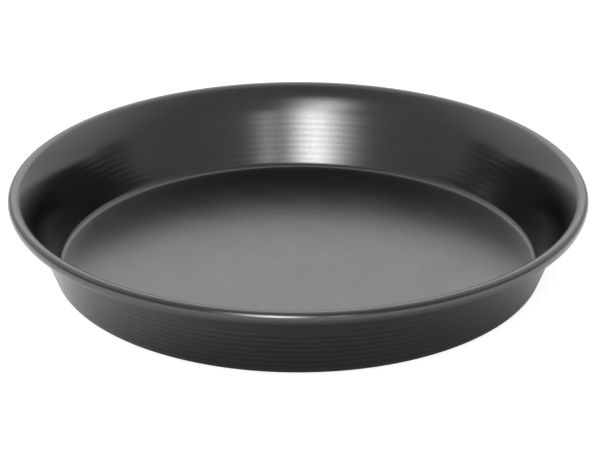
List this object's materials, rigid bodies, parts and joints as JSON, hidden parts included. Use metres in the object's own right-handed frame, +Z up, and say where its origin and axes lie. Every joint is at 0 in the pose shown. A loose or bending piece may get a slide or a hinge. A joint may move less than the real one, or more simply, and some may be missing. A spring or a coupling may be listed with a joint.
{
  "type": "pizza pan",
  "caption": "Deep round pizza pan with a flat floor, slanted ringed wall, flared lip and rolled rim over a wire, in dark hard-anodised aluminium.",
  "frame": {"origin": "middle of the flat underside, on the surface that the pan stands on", "axes": "+Z up along the axis of the round pan; +X and +Y lie in the underside and are alike all round"},
  "size_m": [0.356, 0.356, 0.0524],
  "materials": {
    "anodised_sheet": "dark hard-anodised coat, satin, with fine marks of spinning round the axis",
    "steel_wire": "plain drawn steel, closed in by the rolled rim"
  },
  "bodies": {
    "root": {"pan_shell": "anodised_sheet", "rim_wire": "steel_wire"}
  },
  "joints": []
}
